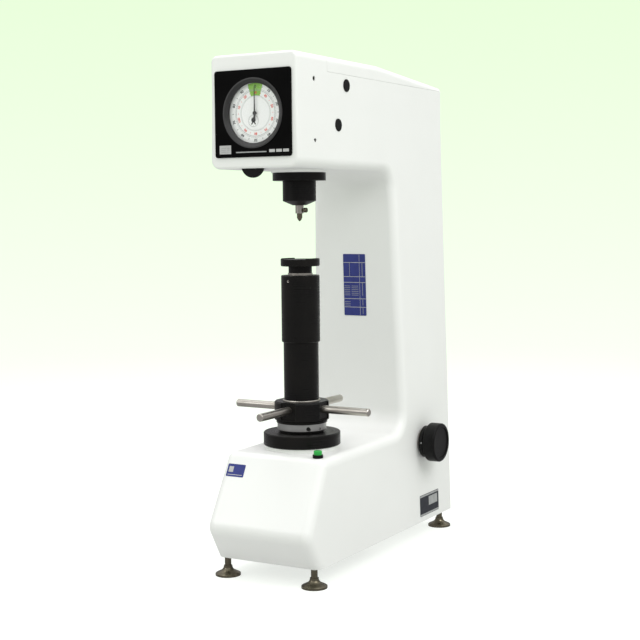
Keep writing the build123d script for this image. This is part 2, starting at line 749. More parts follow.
# ---------------------------------------------------------------- elevating screw and handwheel
def base_ring():
    ring = bar_z(RING_R, RING_Z0, RING_Z1)
    ring = chamfer(ring.edges().filter_by(GeomType.CIRCLE), RING_CHAMFER)
    return ring - bar_z(SCREW_R + RUN, RING_Z0, RING_Z1)


def lock_screw_hole(radius):
    """Radial pin through the thrust ring's wall, pointing at LOCK_SCREW_ANGLE."""
    z = (RACE_FLOOR_Z + THRUST_TOP_Z) / 2
    pin = bar_x(radius, RACE_OUT_R + RUN, THRUST_R + RUN, 0, z)
    return Rot(0, 0, LOCK_SCREW_ANGLE) * pin


def thrust_ring():
    """Cup that holds the ball thrust bearing under the handwheel."""
    cup = turned_z([
        (SCREW_R + RUN, RING_Z1), (THRUST_FOOT_R, RING_Z1), (THRUST_R, THRUST_FOOT_Z),
        (THRUST_R, THRUST_TOP_Z), (RACE_OUT_R, THRUST_TOP_Z), (RACE_OUT_R, RACE_FLOOR_Z),
        (SCREW_R + RUN, RACE_FLOOR_Z)])
    return cup - lock_screw_hole(LOCK_SCREW_R + FIT)


def washer(z0, z1):
    return bar_z(RACE_OUT_R - RUN, z0, z1) - bar_z(RACE_IN_R, z0, z1)


BALL_PITCH_R = (RACE_IN_R + RACE_OUT_R) / 2
BALL_Z = RACE_FLOOR_Z + WASHER + BALL_R


def screw_guide():
    """Bush in the base that guides the screw, with a slot for the key."""
    bush = bar_z(GUIDE_R, GUIDE_BOTTOM_Z, BOSS_TOP_Z) - bar_z(SCREW_R + FIT, 0, HEIGHT)
    return bush - guide_key(RUN / 3)


def guide_key(gap):
    """Feather key in the bush, pointing into the screw's keyway."""
    z0 = GUIDE_BOTTOM_Z + KEY_LENGTH / 2
    half = KEYWAY_HALF - RUN / 3
    return block(-half - gap, half + gap, SCREW_R - KEYWAY_DEPTH + RUN, GUIDE_R - 1 + gap,
                 z0 - gap, z0 + KEY_LENGTH + gap)


def elevating_screw():
    neck_z = SLEEVE_Z1 - SLEEVE_CAP
    screw = bar_z(SCREW_R, SCREW_BOTTOM_Z, neck_z) + bar_z(SCREW_NECK_R, neck_z, SLEEVE_Z1)
    screw += bar_z(ANVIL_NECK_R + 1, SLEEVE_Z1, SCREW_TOP_Z)
    screw -= block(-KEYWAY_HALF, KEYWAY_HALF, SCREW_R - KEYWAY_DEPTH, SCREW_R + 1,
                   SCREW_BOTTOM_Z, neck_z - SLEEVE_WALL)
    return screw - bar_z(ANVIL_STEM_R + FIT, SCREW_TOP_Z - ANVIL_STEM - 1, SCREW_TOP_Z)


def screw_sleeve():
    """Dust sleeve, closed on top round the screw's neck."""
    sleeve = bar_z(SLEEVE_R, SLEEVE_Z0, SLEEVE_Z1)
    sleeve = chamfer(sleeve.edges().filter_by(GeomType.CIRCLE), HUB_CHAMFER / 2)
    sleeve -= bar_z(SLEEVE_R - SLEEVE_WALL, SLEEVE_Z0, SLEEVE_Z1 - SLEEVE_CAP)
    return sleeve - bar_z(SCREW_NECK_R, SLEEVE_Z0, SLEEVE_Z1)


def anvil():
    """Flat anvil with a shallow channel across its table."""
    table_z = ANVIL_Z - ANVIL_FLANGE
    table = bar_z(ANVIL_R, table_z, ANVIL_Z)
    table = chamfer(table.edges().filter_by(GeomType.CIRCLE), RING_CHAMFER)
    half = ANVIL_CHANNEL_HALF
    table -= block(-half, half, -ANVIL_R, ANVIL_R, ANVIL_Z - ANVIL_CHANNEL, ANVIL_Z)
    neck = bar_z(ANVIL_NECK_R, SCREW_TOP_Z, table_z)
    stem = bar_z(ANVIL_STEM_R, SCREW_TOP_Z - ANVIL_STEM, SCREW_TOP_Z)
    return table + neck + stem


def handwheel_hub():
    hub = turned_z([
        (NUT_R, HUB_Z0), (HUB_SKIRT_R, HUB_Z0), (HUB_SKIRT_R, HUB_SKIRT_Z - 1),
        (HUB_R, HUB_SKIRT_Z + 1), (HUB_R, HUB_Z1 - HUB_CHAMFER), (HUB_R - HUB_CHAMFER, HUB_Z1),
        (SCREW_R + RUN, HUB_Z1), (SCREW_R + RUN, NUT_Z1), (NUT_R, NUT_Z1)])
    flat = block(HUB_FLAT, HUB_R + 1, -HUB_FLAT_HALF, HUB_FLAT_HALF, HUB_SKIRT_Z + 2, HUB_Z1)
    hole = bar_x(SPOKE_R, SPOKE_ROOT, HUB_R, 0, SPOKE_Z)
    return hub - spun(flat, SPOKE_COUNT, SPOKE_TURN) - spun(hole, SPOKE_COUNT, SPOKE_TURN)


def spoke():
    rod = bar_x(SPOKE_R, SPOKE_ROOT, SPOKE_REACH, 0, SPOKE_Z)
    return chamfer(rod.faces().sort_by(Axis.X)[-1].edges(), RING_CHAMFER)


def lift_nut():
    """Bronze nut inside the hub that turns on the screw."""
    return bar_z(NUT_R, NUT_Z0, NUT_Z1) - bar_z(SCREW_R + FIT, NUT_Z0, NUT_Z1)


def lower_tube():
    tube = bar_z(TUBE_R, HUB_Z1, TUBE_TOP_Z)
    return tube - bar_z(TUBE_R - TUBE_WALL, HUB_Z1, TUBE_TOP_Z)


keep("base_ring", base_ring())
keep("thrust_ring", thrust_ring())
SCREWS += [lock_screw_hole(LOCK_SCREW_R)]
keep("housing_screws", Part() + SCREWS)
BALLS = spun(Pos(BALL_PITCH_R, 0, BALL_Z) * Sphere(BALL_R), BALL_COUNT)
keep("thrust_bearing", washer(RACE_FLOOR_Z, RACE_FLOOR_Z + WASHER) + BALLS)
keep("screw_guide", group(screw_guide(), guide_key(0)))
keep("elevating_screw", elevating_screw())
keep("screw_sleeve", screw_sleeve())
keep("anvil", anvil())
keep("handwheel_hub", handwheel_hub())
keep("handwheel_spokes", spun(spoke(), SPOKE_COUNT, SPOKE_TURN))
keep("lift_nut", group(lift_nut(), washer(BALL_Z + BALL_R + RUN, HUB_Z0)))
keep("lower_tube", lower_tube())


# ---------------------------------------------------------------- spindle and indenter
def spindle_housing():
    bush_r = SPINDLE_R + BUSH_WALL
    return turned_z([
        (HOUSING_TIP_R - 2, HOUSING_TIP_Z), (HOUSING_TIP_R, HOUSING_TIP_Z),
        (HOUSING_R, HOUSING_Z0), (HOUSING_R, FLANGE_Z0), (FLANGE_R, FLANGE_Z0),
        (FLANGE_R, FLANGE_Z1), (SPIGOT_R, FLANGE_Z1), (SPIGOT_R, SPIGOT_Z), (bush_r, SPIGOT_Z),
        (bush_r, HOUSING_Z0), (HOUSING_TIP_R - 2, HOUSING_Z0)])


def spindle_bush():
    bush = bar_z(SPINDLE_R + BUSH_WALL, HOUSING_Z0, SPIGOT_Z)
    return bush - bar_z(SPINDLE_R + FIT, HOUSING_Z0, SPIGOT_Z)


def spindle():
    shaft = turned_z([
        (0, SPINDLE_NOSE_Z), (SPINDLE_NOSE_R, SPINDLE_NOSE_Z),
        (SPINDLE_NOSE_R, HOUSING_Z0 + RUN), (SPINDLE_R, HOUSING_Z0 + RUN),
        (SPINDLE_R, SPINDLE_TOP_Z), (0, SPINDLE_TOP_Z)])
    shaft -= bar_z(INDENTER_STEM_R + FIT, SPINDLE_NOSE_Z, SPINDLE_NOSE_Z + INDENTER_STEM + 1)
    return shaft - bar_x(CLAMP_R + FIT, 0, SPINDLE_NOSE_R + 1, 0, CLAMP_Z)


def indenter():
    """Diamond-cone indenter with its stem in the spindle's nose."""
    cone_r = INDENTER_R * INDENTER_CONE / INDENTER_TAPER
    body_top = SPINDLE_NOSE_Z
    return turned_z([
        (0, TIP_Z), (TIP_R, TIP_Z), (cone_r, TIP_Z + cone_r - TIP_R), (INDENTER_R, TIP_Z + INDENTER_TAPER),
        (INDENTER_R, body_top), (INDENTER_STEM_R, body_top),
        (INDENTER_STEM_R, body_top + INDENTER_STEM), (0, body_top + INDENTER_STEM)])


def clamp_screw():
    """Thumb screw that pinches the indenter's stem."""
    neck = bar_x(CLAMP_R, INDENTER_STEM_R + RUN, CLAMP_REACH - CLAMP_HEAD, 0, CLAMP_Z)
    head = bar_x(CLAMP_HEAD_R, CLAMP_REACH - CLAMP_HEAD, CLAMP_REACH, 0, CLAMP_Z)
    return neck + chamfer(head.edges().filter_by(GeomType.CIRCLE), CLAMP_R / 3)


def gauge_rod():
    """Rod through the lever that carries the spindle's movement to the dial."""
    rod = bar_z(GAUGE_ROD_R, SPINDLE_TOP_Z, GAUGE_ARM_Z)
    half = GAUGE_ARM_HALF
    back = -HEAD_REACH + CASE_DEPTH + DRIVE_WIDTH + MOVEMENT_DEPTH + RUN * 4
    arm = block(-half, half, back, half, GAUGE_ARM_Z - half, GAUGE_ARM_Z + half)
    return rod + arm


keep("spindle_housing", group(spindle_housing(), spindle_bush()))
keep("spindle", spindle() + gauge_rod())
keep("indenter", indenter())
keep("indenter_clamp_screw", clamp_screw())


# ---------------------------------------------------------------- loading lever
LEVER_TOP_Z = FULCRUM_Z + LEVER_DEEP / 2
LEVER_UNDER_Z = FULCRUM_Z - LEVER_DEEP / 2
LEVER_TAIL_UNDER_Z = LEVER_UNDER_Z + 2
LEVER_TAIL_TOP_Z = LEVER_TAIL_UNDER_Z + LEVER_SLIM
SHOULDER_Y = FULCRUM_ARM


def lever_top_z(y):
    """Height of the lever's upper edge at y."""
    share = (y - SHOULDER_Y) / (LEVER_TAIL_Y - SHOULDER_Y)
    return LEVER_TOP_Z + (LEVER_TAIL_TOP_Z - LEVER_TOP_Z) * min(max(share, 0), 1)


def lever():
    nose_y = -FULCRUM_ARM - LEVER_NOSE
    outline = make_face(Polyline(
        (nose_y, LEVER_UNDER_Z), (SHOULDER_Y, LEVER_UNDER_Z), (LEVER_TAIL_Y, LEVER_TAIL_UNDER_Z),
        (LEVER_TAIL_Y, LEVER_TAIL_TOP_Z), (SHOULDER_Y, LEVER_TOP_Z), (nose_y, LEVER_TOP_Z),
        close=True))
    ends = outline.vertices().group_by(Axis.X)
    outline = fillet(ends[0] + ends[-1], CHEEK / 2)
    bar = extrude(Plane.YZ * outline, amount=LEVER_HALF, both=True)
    slot = LEVER_SLOT
    bar -= block(-slot, slot, -slot, slot, 0, HEIGHT)
    return bar - bar_x(FULCRUM_R + FIT, -LEVER_HALF, LEVER_HALF, -FULCRUM_ARM, FULCRUM_Z)


def spindle_knives():
    """Hardened knife edges under the lever, one each side of the slot."""
    tip = SPINDLE_TOP_Z + RUN
    wedge = make_face(Polyline((0, tip), (KNIFE_HALF, LEVER_UNDER_Z), (-KNIFE_HALF, LEVER_UNDER_Z),
                               close=True))
    right = extrude(Plane.YZ * wedge, amount=SPINDLE_R)
    right -= block(0, LEVER_SLOT, -SPINDLE_R, SPINDLE_R, 0, HEIGHT)
    return right + mirror(right, Plane.YZ)


def fulcrum_block():
    """Two cheeks on a foot, bolted to the head's floor, that hold the fulcrum pin."""
    inner = LEVER_HALF + RUN
    y0 = -FULCRUM_ARM - CHEEK_HALF_Y
    y1 = -FULCRUM_ARM + CHEEK_HALF_Y
    top = FULCRUM_Z + CHEEK_HALF_Y
    cheeks = Part()
    for side in (-1, 1):
        x = sorted((side * inner, side * (inner + CHEEK)))
        cheeks += block(x[0], x[1], y0, y1, HEAD_FLOOR_Z, top)
    foot_y1 = -SPIGOT_R - RUN
    span = inner + CHEEK
    cheeks += block(-span, span, y0, foot_y1, HEAD_FLOOR_Z, HEAD_FLOOR_Z + BLOCK_FOOT)
    cheeks -= bar_z(SPIGOT_R + RUN, HEAD_FLOOR_Z, SPIGOT_Z + RUN)
    return cheeks - bar_x(FULCRUM_R, -span, span, -FULCRUM_ARM, FULCRUM_Z)


def fulcrum_pin():
    span = LEVER_HALF + RUN + CHEEK
    return bar_x(FULCRUM_R, -span, span, -FULCRUM_ARM, FULCRUM_Z)


def lever_poise():
    """Small sliding weight that trims the preload."""
    under = LEVER_UNDER_Z + 1
    top = lever_top_z(POISE_Y - POISE_HALF) + POISE_WALL
    out = LEVER_HALF + POISE_WALL
    shoe = block(-out, out, POISE_Y - POISE_HALF, POISE_Y + POISE_HALF, under, top)
    return shoe - lever()


keep("load_lever", group(lever(), spindle_knives()))
keep("fulcrum_block", group(fulcrum_block(), fulcrum_pin()))
keep("lever_poise", lever_poise())


# ---------------------------------------------------------------- weights in the column
def weight_levels():
    """Bottom of each weight: the first on the pan, the others on the cradle's lugs."""
    first = PAN_Z + PAN_THICK
    second = first + WEIGHT_HEIGHTS[0] + LIFT_ROOM + LUG
    third = second + WEIGHT_HEIGHTS[1] + STACK_GAP + LUG
    return [first, second, third]


LEVELS = weight_levels()
CRADLE_TOP_Z = LEVELS[2] + CRADLE_TOP
CRADLE_IN_X = WEIGHT_R + CRADLE_GAP
CRADLE_OUT_X = CRADLE_IN_X + CRADLE_PLATE


def hanger():
    """Stirrup over the lever's tail with a rod and a pan for the weights."""
    inner = LEVER_HALF + RUN * 4
    outer = inner + STRAP
    y0 = HANGER_Y - STRAP_HALF_Y
    y1 = HANGER_Y + STRAP_HALF_Y
    frame = block(-outer, outer, y0, y1, STRAP_FOOT_Z, STRAP_TOP_Z)
    frame -= block(-inner, inner, y0, y1, STRAP_FOOT_Z + STRAP_BRIDGE, STRAP_TOP_Z - STRAP_BRIDGE)
    pin_z = lever_top_z(HANGER_Y) + RUN * 2 + HANGER_PIN_R
    frame += bar_x(HANGER_PIN_R, -outer, outer, HANGER_Y, pin_z)
    frame += bar_z(HANGER_ROD_R, PAN_Z, STRAP_FOOT_Z, 0, HANGER_Y)
    return frame + bar_z(PAN_R, PAN_Z, PAN_Z + PAN_THICK, 0, HANGER_Y)


def weight(index):
    z0 = LEVELS[index]
    z1 = z0 + WEIGHT_HEIGHTS[index]
    bore = HANGER_ROD_R if index == 0 else WEIGHT_BORE
    disc = bar_z(WEIGHT_R, z0, z1, 0, HANGER_Y)
    disc = chamfer(disc.edges().filter_by(GeomType.CIRCLE), RING_CHAMFER)
    return disc - bar_z(bore, z0, z1, 0, HANGER_Y)


def cradle():
    """Lifting frame with lugs that hold the second and third weights off the hanger."""
    y0 = HANGER_Y - CRADLE_HALF_Y
    y1 = HANGER_Y + CRADLE_HALF_Y
    frame = block(-CRADLE_OUT_X, CRADLE_OUT_X, y0, y1, CRADLE_FLOOR_Z,
                  CRADLE_FLOOR_Z + CRADLE_FLOOR)
    for side in (-1, 1):
        x = sorted((side * CRADLE_IN_X, side * CRADLE_OUT_X))
        frame += block(x[0], x[1], y0, GUIDE_ROD_Y, CRADLE_FLOOR_Z, CRADLE_TOP_Z)
        lug = sorted((side * (WEIGHT_R - LUG), side * CRADLE_IN_X))
        for level in LEVELS[1:]:
            frame += block(lug[0], lug[1], y0, y1, level - LUG, level)
        for z0 in (CRADLE_FLOOR_Z, CRADLE_TOP_Z - GUIDE_LUG):
            frame += bar_z(GUIDE_LUG_R, z0, z0 + GUIDE_LUG, side * GUIDE_ROD_X, GUIDE_ROD_Y)
        frame -= bar_z(GUIDE_ROD_R + FIT * 2, 0, HEIGHT, side * GUIDE_ROD_X, GUIDE_ROD_Y)
    return frame


def cradle_guides():
    """Two guide rods, each held at both ends by a block on the column's wall."""
    guides = Part()
    for side in (-1, 1):
        x = side * GUIDE_ROD_X
        guides += bar_z(GUIDE_ROD_R, GUIDE_ROD_Z0, GUIDE_ROD_Z1, x, GUIDE_ROD_Y)
        for z0 in (GUIDE_ROD_Z0, GUIDE_ROD_Z1 - GUIDE_BLOCK):
            reach = sorted((side * (GUIDE_ROD_X - GUIDE_LUG_R), side * FAR))
            arm = block(reach[0], reach[1], GUIDE_ROD_Y - GUIDE_LUG_R, GUIDE_ROD_Y + GUIDE_LUG_R,
                        z0, z0 + GUIDE_BLOCK)
            guides += arm & cavity
    return guides


keep("weight_hanger", hanger())
keep("weight_first", weight(0))
keep("weight_cradle", cradle())
keep("upper_weights", weight(1) + weight(2))


# ---------------------------------------------------------------- load selector
SKIRT_X = half_width(KNOB_Z) + SELECTOR_BUSH_FLANGE + KNOB_GAP


def selector_knob():
    """Black moulded knob: a skirt, a groove and a wider grip with a dished face."""
    groove_r = KNOB_SKIRT_R - KNOB_EDGE_R
    knob = turned_x([
        (SKIRT_X, 0), (SKIRT_X, KNOB_SKIRT_R), (KNOB_GRIP_X - KNOB_EDGE_R, KNOB_SKIRT_R),
        (KNOB_GRIP_X - KNOB_EDGE_R, groove_r), (KNOB_GRIP_X, groove_r), (KNOB_GRIP_X, KNOB_R),
        (KNOB_FACE_X, KNOB_R), (KNOB_FACE_X, KNOB_DISH_R), (KNOB_FACE_X - KNOB_DISH, KNOB_DISH_R),
        (KNOB_FACE_X - KNOB_DISH, 0)], KNOB_Y, KNOB_Z)
    rims = [e for e in knob.edges().filter_by(GeomType.CIRCLE) if abs(e.radius - KNOB_R) < 0.1]
    knob = fillet(rims, KNOB_EDGE_R)
    return knob - bar_x(SELECTOR_R, SKIRT_X, KNOB_GRIP_X + KNOB_EDGE_R, KNOB_Y, KNOB_Z)


def selector_shaft():
    return bar_x(SELECTOR_R, SELECTOR_END_X, KNOB_GRIP_X + KNOB_EDGE_R, KNOB_Y, KNOB_Z)


def selector_cam():
    """Spiral cam: its radius grows evenly with the knob's angle over the working sweep."""
    steps = 24
    sweep = radians(CAM_SWEEP)
    points = []
    for i in range(steps + 1):
        angle = sweep * i / steps
        radius = CAM_BASE_R + CAM_LIFT * i / steps
        points.append((radius * sin(angle), radius * cos(angle)))
    rise = Spline(*points)
    back = ThreePointArc(points[-1], (0, -CAM_BASE_R), (-CAM_BASE_R * 0.94, CAM_BASE_R * 0.34))
    close_arc = ThreePointArc(back @ 1, (-CAM_BASE_R * 0.5, CAM_BASE_R * 0.866), points[0])
    outline = make_face(Wire([rise, back, close_arc]))
    disc = extrude(Plane.YZ * outline, amount=CAM_HALF, both=True)
    disc = Pos(0, KNOB_Y, KNOB_Z) * disc
    return disc - bar_x(SELECTOR_R, -CAM_HALF, CAM_HALF, KNOB_Y, KNOB_Z)


def selector_bush():
    wall_x = half_width(KNOB_Z)
    bush = bar_x(SELECTOR_BUSH_FLANGE_R, wall_x - 1, wall_x + SELECTOR_BUSH_FLANGE,
                 KNOB_Y, KNOB_Z) - body
    bush += bar_x(SELECTOR_BUSH_R, wall_x - WALL * 1.5, wall_x + 1, KNOB_Y, KNOB_Z)
    return bush - bar_x(SELECTOR_R + FIT, 0, FAR, KNOB_Y, KNOB_Z)


def selector_post():
    """Bearing post for the selector shaft's inner end."""
    x1 = SELECTOR_END_X + SELECTOR_POST
    half = SELECTOR_POST_HALF
    post = block(SELECTOR_END_X, x1, KNOB_Y - half, KNOB_Y + half, BASE_FLOOR_Z, KNOB_Z)
    post += bar_x(half, SELECTOR_END_X, x1, KNOB_Y, KNOB_Z)
    return post - bar_x(SELECTOR_R + FIT, SELECTOR_END_X, x1, KNOB_Y, KNOB_Z)


keep("selector_knob", selector_knob())
keep("selector_camshaft", group(selector_shaft(), selector_cam()))
keep("selector_bearings", selector_bush() + selector_post())


# ---------------------------------------------------------------- dial


def dial_panel():
    panel = block(-DIAL_PANEL_HALF, DIAL_PANEL_HALF, PANEL_FACE_Y, -HEAD_REACH,
                  DIAL_PANEL_Z0, DIAL_PANEL_Z1)
    panel = fillet(panel.edges().filter_by(Axis.Y), DIAL_PANEL_R)
    return panel - bar_y(CASE_R - CASE_WALL, PANEL_FACE_Y, -HEAD_REACH, 0, DIAL_Z)


def dial_bezel():
    """Rim that funnels in from a lip on the panel to the glass."""
    body_r = CASE_R - CASE_WALL - FIT
    back_y = GLASS_Y + GLASS
    return turned_y([
        (BEZEL_R, PANEL_FACE_Y), (BEZEL_R, BEZEL_FACE_Y), (BEZEL_MOUTH_R, BEZEL_FACE_Y),
        (BEZEL_IN_R, GLASS_Y - BEZEL_LAND), (BEZEL_IN_R, GLASS_Y), (GLASS_R, GLASS_Y),
        (GLASS_R, back_y), (body_r, back_y), (body_r, PANEL_FACE_Y)], DIAL_Z)


def dial_glass():
    return bar_y(GLASS_R, GLASS_Y, GLASS_Y + GLASS, 0, DIAL_Z)


def dial_case():
    """Drum behind the panel that carries the movement."""
    case = bar_y(CASE_R, -HEAD_REACH, CASE_BACK_Y, 0, DIAL_Z)
    case -= bar_y(CASE_R - CASE_WALL, -HEAD_REACH, CASE_BACK_Y - CASE_WALL, 0, DIAL_Z)
    return case - bar_y(SCALE_HUB_R + RUN, -HEAD_REACH, CASE_BACK_Y, 0, DIAL_Z)


def dial_scale():
    """Turning scale ring on a shallow cup, with a hub tube to its drive wheel."""
    web_y = SCALE_Y + SCALE_DEPTH
    return turned_y([
        (SCALE_IN_R, SCALE_Y), (SCALE_R, SCALE_Y), (SCALE_R, web_y + SCALE_RIM),
        (SCALE_HUB_R, web_y + SCALE_RIM), (SCALE_HUB_R, DRIVE_Y0), (DRIVE_R - DRIVE_NIP, DRIVE_Y0),
        (DRIVE_R - DRIVE_NIP, DRIVE_Y1), (SCALE_HUB_BORE, DRIVE_Y1), (SCALE_HUB_BORE, web_y),
        (SCALE_R - SCALE_RIM, web_y), (SCALE_R - SCALE_RIM, SCALE_Y + SCALE_THICK),
        (SCALE_IN_R, SCALE_Y + SCALE_THICK)], DIAL_Z)


def center_face():
    """Fixed middle of the dial on a stem from the movement."""
    face = bar_y(FACE_R, SCALE_Y, SCALE_Y + SCALE_THICK, 0, DIAL_Z)
    face += bar_y(FACE_STEM_R, SCALE_Y, MOVEMENT_Y, 0, DIAL_Z)
    face -= bar_y(FACE_STEM_BORE, SCALE_Y, MOVEMENT_Y, 0, DIAL_Z)
    return face - bar_y(SMALL_SHAFT_R + FIT * 2, SCALE_Y, SCALE_Y + SCALE_THICK,
                        SMALL_X, DIAL_Z - SMALL_DROP)


def hand(reach, tail, half, hub_r, thick, shaft_r, y0, shaft_y1):
    """A tapering hand that points up, with its hub and shaft."""
    outline = make_face(Polyline(
        (-half, -tail), (half, -tail), (half / 3, reach), (-half / 3, reach), close=True))
    blade = extrude(Plane.XZ * outline, amount=-thick)
    return (Pos(0, y0, 0) * blade + bar_y(hub_r, y0, y0 + thick, 0, 0)
            + bar_y(shaft_r, y0, shaft_y1, 0, 0))


def long_pointer():
    y0 = GLASS_Y + GLASS + RUN * 1.5
    pointer = hand(POINTER_R, POINTER_TAIL, POINTER_HALF, POINTER_HUB_R, POINTER_THICK,
                   POINTER_SHAFT_R, y0, MOVEMENT_Y - RUN)
    return Pos(0, 0, DIAL_Z) * pointer


def small_pointer():
    y0 = SCALE_Y - RUN - POINTER_THICK
    wheel_y = SCALE_Y + SCALE_THICK + RUN
    pointer = hand(SMALL_REACH, SMALL_HUB_R, POINTER_HALF / 2, SMALL_HUB_R, POINTER_THICK,
                   SMALL_SHAFT_R, y0, wheel_y)
    return Pos(SMALL_X, 0, DIAL_Z - SMALL_DROP) * pointer


def movement():
    """Closed movement that multiplies the spindle's lift for the hands."""
    z0 = DIAL_Z - MOVEMENT_HEIGHT / 2
    half = MOVEMENT_HALF
    box = block(-half, half, MOVEMENT_Y, MOVEMENT_Y + MOVEMENT_DEPTH, z0, z0 + MOVEMENT_HEIGHT)
    box = fillet(box.edges().filter_by(Axis.Y), DIAL_PANEL_R)
    return box - bar_y(POINTER_SHAFT_R + FIT, MOVEMENT_Y, MOVEMENT_Y + 1, 0, DIAL_Z)


def dial_bracket():
    """Plate between the head's sides that carries the movement."""
    y0 = MOVEMENT_Y + MOVEMENT_DEPTH
    wide = block(-FAR, FAR, y0, y0 + BRACKET, BRACKET_Z0, BRACKET_Z1) & cavity
    for side in (-1, 1):
        x = sorted((side * (HEAD_HALF - WALL - BRACKET), side * FAR))
        wide += block(x[0], x[1], y0 - BRACKET_FLANGE, y0, BRACKET_Z0, BRACKET_Z1) & cavity
    for y, z in CASE_SCREWS:
        wide -= bar_x(CASE_SCREW_R + FIT, -FAR, FAR, y, z)
    slot = BRACKET_SLOT / 2
    return wide - block(-slot, slot, y0, y0 + BRACKET, GAUGE_ARM_Z - slot, GAUGE_ARM_Z + slot + 1)


keep("dial_panel", dial_panel())
keep("dial_bezel", dial_bezel())
keep("dial_glass", dial_glass())
keep("dial_case", dial_case())
keep("dial_scale", dial_scale())
keep("dial_center_face", center_face())
keep("long_pointer", long_pointer())
keep("small_pointer", small_pointer())


# ---------------------------------------------------------------- scale drive
def thumbwheel():
    wheel = bar_y(THUMB_R, THUMB_Y0, THUMB_Y1, THUMB_X, THUMB_Z)
    wheel = chamfer(wheel.edges().filter_by(GeomType.CIRCLE), RING_CHAMFER)
    wheel += bar_y(THUMB_AXLE_R, THUMB_Y0, MOVEMENT_Y + AXLE_BLOCK, THUMB_X, THUMB_Z)
    return wheel + bar_y(PINION_R - DRIVE_NIP, DRIVE_Y0, DRIVE_Y1, THUMB_X, THUMB_Z)


def idler():
    disc = bar_y(IDLER_R - DRIVE_NIP, DRIVE_Y0, DRIVE_Y1, IDLER_X, IDLER_Z)
    return disc - bar_y(IDLER_BORE + FIT, DRIVE_Y0, DRIVE_Y1, IDLER_X, IDLER_Z)


def axle_block():
    """Bearing for the thumbwheel's axle, with the idler's stud."""
    half = AXLE_BLOCK_HALF
    y0 = MOVEMENT_Y
    post = block(THUMB_X - half, THUMB_X + half, y0, y0 + AXLE_BLOCK, HEAD_UNDER_Z,
                 IDLER_Z + IDLER_BORE)
    post += bar_y(IDLER_BORE, DRIVE_Y0, y0, IDLER_X, IDLER_Z)
    return post - bar_y(THUMB_AXLE_R + FIT, DRIVE_Y0, y0 + AXLE_BLOCK, THUMB_X, THUMB_Z)


keep("scale_thumbwheel", thumbwheel())
keep("scale_idler", idler())
keep("dial_bracket", group(dial_bracket(), movement(), axle_block()))


# ---------------------------------------------------------------- button and electrics
def button_bezel():
    """Threaded barrel with a black collar on the base's top."""
    z0 = BUTTON_Z - BARREL
    barrel = bar_z(BARREL_R - FIT, z0, BUTTON_Z, BUTTON_X, BUTTON_Y)
    collar = bar_z(BUTTON_BEZEL_R, BUTTON_Z, BUTTON_Z + BUTTON_BEZEL, BUTTON_X, BUTTON_Y)
    collar = chamfer(collar.faces().sort_by(Axis.Z)[-1].edges(), CLAMP_R / 3)
    return barrel + collar - bar_z(BUTTON_R + FIT * 2, z0, HEIGHT, BUTTON_X, BUTTON_Y)


def start_button():
    cap = bar_z(BUTTON_R, BUTTON_Z - BUTTON_SKIRT, BUTTON_Z + BUTTON_TOP, BUTTON_X, BUTTON_Y)
    cap = fillet(cap.faces().sort_by(Axis.Z)[-1].edges(), CLAMP_R)
    stem_z = BUTTON_Z - BARREL + BUTTON_BEZEL + RUN
    return cap + bar_z(BUTTON_STEM_R, stem_z, BUTTON_Z, BUTTON_X, BUTTON_Y)


def button_switch():
    z1 = BUTTON_Z - BARREL
    return block(BUTTON_X - SWITCH_HALF, BUTTON_X + SWITCH_HALF, BUTTON_Y - SWITCH_HALF,
                 BUTTON_Y + SWITCH_HALF, z1 - SWITCH_HEIGHT, z1)


def power_inlet():
    """Three-pin inlet in the rear cover."""
    y0 = REAR_REACH - INLET_DEPTH
    half_x = INLET_HALF_X - PANEL_GAP / 3
    half_z = INLET_HALF_Z - PANEL_GAP / 3
    flange_y = REAR_REACH - COVER_THICK
    shell = block(INLET_X - half_x, INLET_X + half_x, y0, REAR_REACH, INLET_Z - half_z,
                  INLET_Z + half_z)
    wide = half_x + INLET_FLANGE
    high = half_z + INLET_FLANGE
    shell += block(INLET_X - wide, INLET_X + wide, flange_y - INLET_WALL, flange_y,
                   INLET_Z - high, INLET_Z + high)
    wall = INLET_WALL
    shell -= block(INLET_X - half_x + wall, INLET_X + half_x - wall, y0 + wall, REAR_REACH,
                   INLET_Z - half_z + wall, INLET_Z + half_z - wall)
    for x, z in ((-half_x / 2, -wall), (0, wall), (half_x / 2, -wall)):
        shell += bar_y(PIN_R, y0, REAR_REACH - wall * 2, INLET_X + x, INLET_Z + z)
    return shell


def rocker_frame():
    half_x = ROCKER_HALF_X + ROCKER_WALL - PANEL_GAP / 3
    half_z = ROCKER_HALF_Z + ROCKER_WALL - PANEL_GAP / 3
    y0 = REAR_REACH - ROCKER_DEPTH
    shell = block(ROCKER_X - half_x, ROCKER_X + half_x, y0, REAR_REACH, INLET_Z - half_z,
                  INLET_Z + half_z)
    room_x = ROCKER_HALF_X + RUN
    room_z = ROCKER_HALF_Z + RUN
    return shell - block(ROCKER_X - room_x, ROCKER_X + room_x, y0 + ROCKER_WALL, REAR_REACH,
                         INLET_Z - room_z, INLET_Z + room_z)


def power_rocker():
    """Rocker with a shallow V face, tilted to its off position."""
    root = ROCKER_HALF_Z * 0.5
    tip = ROCKER_HALF_Z * 0.9
    proud = ROCKER_PIVOT + ROCKER_PROUD
    outline = make_face(Polyline(
        (-ROCKER_PIVOT / 2, -root), (ROCKER_PIVOT / 2, -tip), (proud, -tip), (ROCKER_PIVOT, 0),
        (proud, tip), (ROCKER_PIVOT / 2, tip), (-ROCKER_PIVOT / 2, root), close=True))
    rocker = extrude(Plane.YZ * outline, amount=ROCKER_HALF_X - RUN, both=True)
    rocker += bar_x(ROCKER_PROUD, -ROCKER_HALF_X, ROCKER_HALF_X, 0, 0)
    return Pos(ROCKER_X, REAR_REACH - ROCKER_PIVOT, INLET_Z) * Rot(-ROCKER_TILT, 0, 0) * rocker


